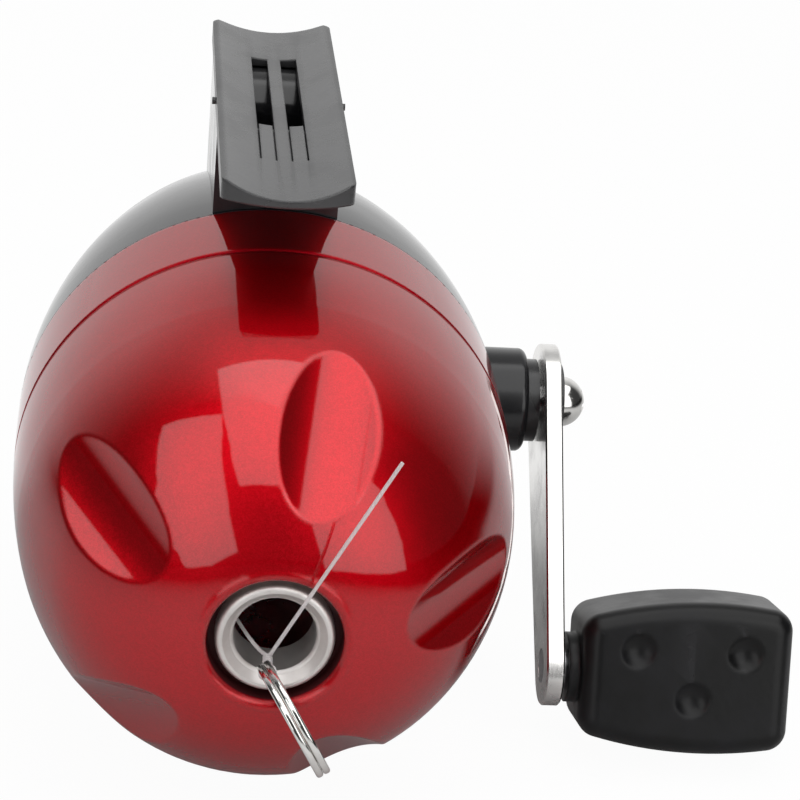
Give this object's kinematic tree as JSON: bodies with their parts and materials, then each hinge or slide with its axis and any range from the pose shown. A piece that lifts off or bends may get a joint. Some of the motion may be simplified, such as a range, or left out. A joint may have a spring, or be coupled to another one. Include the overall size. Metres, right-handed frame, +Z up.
{
  "type": "slingshot fishing reel",
  "caption": "Closed-face fishing reel for a slingshot: a red egg-shaped cover on a black body, a saddle foot on top, a side crank with a flat paddle knob and a thumb button behind.",
  "frame": {"origin": "over the middle of the foot plate, in the plane of its two side lands", "axes": "+X to the crank side, -Y to the nose where the line leaves, +Z up out of the foot"},
  "size_m": [0.0906, 0.1075, 0.0717],
  "materials": {
    "cover_red": "candy red clear-coated metallic",
    "body_black": "glossy black moulding",
    "foot_gray": "semi-gloss dark gray moulding",
    "stem_black": "black moulding",
    "guide_steel": "satin pressed steel",
    "arm_chrome": "bright nickel plate",
    "screw_steel": "bright steel",
    "knob_black": "satin black moulding",
    "button_black": "satin black moulding",
    "bush_bronze": "sintered bronze",
    "pinion_brass": "machined brass",
    "gear_zinc": "die-cast gear metal",
    "rotor_metal": "machined cup",
    "ratchet_steel": "pressed steel",
    "spool_plastic": "pale moulding",
    "line_nylon": "clear nylon line",
    "ring_steel": "bright steel ring",
    "spring_steel": "spring wire"
  },
  "bodies": {
    "housing": {"front_cover": "cover_red", "line_guide": "guide_steel", "guide_retainer": "guide_steel", "cover_collar": "cover_red", "rear_body": "body_black", "deck_frame": "gear_zinc", "deck_screws_set": "screw_steel", "front_bush": "bush_bronze", "spool": "spool_plastic", "line_winding": "line_nylon", "spool_clip": "spool_plastic", "bearing_bridge": "screw_steel", "bridge_screws": "screw_steel", "rear_bush": "bush_bronze", "button_spring": "spring_steel", "crank_bush": "stem_black", "pawl_pin": "screw_steel", "foot_plate": "foot_gray", "foot_stem": "stem_black", "foot_screws": "screw_steel", "fishing_line": "line_nylon", "line_knot": "line_nylon"},
    "crank": {"drive_gear": "gear_zinc", "crank_shaft": "screw_steel", "ratchet_wheel": "ratchet_steel", "crank_arm": "arm_chrome", "crank_washer": "arm_chrome", "crank_screw": "screw_steel", "knob_rivet": "screw_steel"},
    "grip": {"knob": "knob_black"},
    "pinion": {"pinion_gear": "pinion_brass"},
    "button": {"thumb_button": "button_black"},
    "winder": {"main_shaft": "screw_steel", "rotor": "rotor_metal", "rotor_nut": "screw_steel", "shaft_clip": "screw_steel"},
    "pickup": {"pickup_pin": "screw_steel"},
    "catch": {"pawl": "ratchet_steel"},
    "ring": {"split_ring": "ring_steel"}
  },
  "joints": [
    {"name": "crank_spin", "type": "hinge", "parent": "housing", "child": "crank", "pos_m": [0, 0.00625, -0.03895], "axis": [1, 0, 0], "continuous": true},
    {"name": "knob_spin", "type": "hinge", "parent": "crank", "child": "grip", "pos_m": [0.04, -0.01791, -0.06187], "axis": [1, 0, 0], "continuous": true},
    {"name": "pinion_spin", "type": "hinge", "parent": "housing", "child": "pinion", "pos_m": [0, -0.00865, -0.03895], "axis": [0, 1, 0], "continuous": true},
    {"name": "button_press", "type": "slide", "parent": "housing", "child": "button", "axis": [0, -1, 0], "range_m": [0, 0.004], "stiffness_N_per_m": 300, "springref_m": -0.004, "deforming": ["button_spring"]},
    {"name": "rotor_spin", "type": "hinge", "parent": "button", "child": "winder", "pos_m": [0, 0.00235, -0.03895], "axis": [0, 1, 0], "continuous": true},
    {"name": "pickup_retract", "type": "slide", "parent": "winder", "child": "pickup", "axis": [0, 0, 1], "range_m": [0, 0.002]},
    {"name": "pawl_lift", "type": "hinge", "parent": "housing", "child": "catch", "pos_m": [0.0144, 0.01275, -0.02875], "axis": [-1, 0, 0], "range_deg": [0, 10]},
    {"name": "ring_swing", "type": "hinge", "parent": "housing", "child": "ring", "pos_m": [-0.0007, -0.05525, -0.04144], "axis": [0.3031, 0.5204, -0.7983], "range_deg": [-20, 40]}
  ],
  "couplings": [
    {"joint": "pinion_spin", "follows": "crank_spin", "ratio": 3},
    {"joint": "rotor_spin", "follows": "crank_spin", "ratio": 3},
    {"joint": "pickup_retract", "follows": "button_press", "ratio": 0.5}
  ]
}
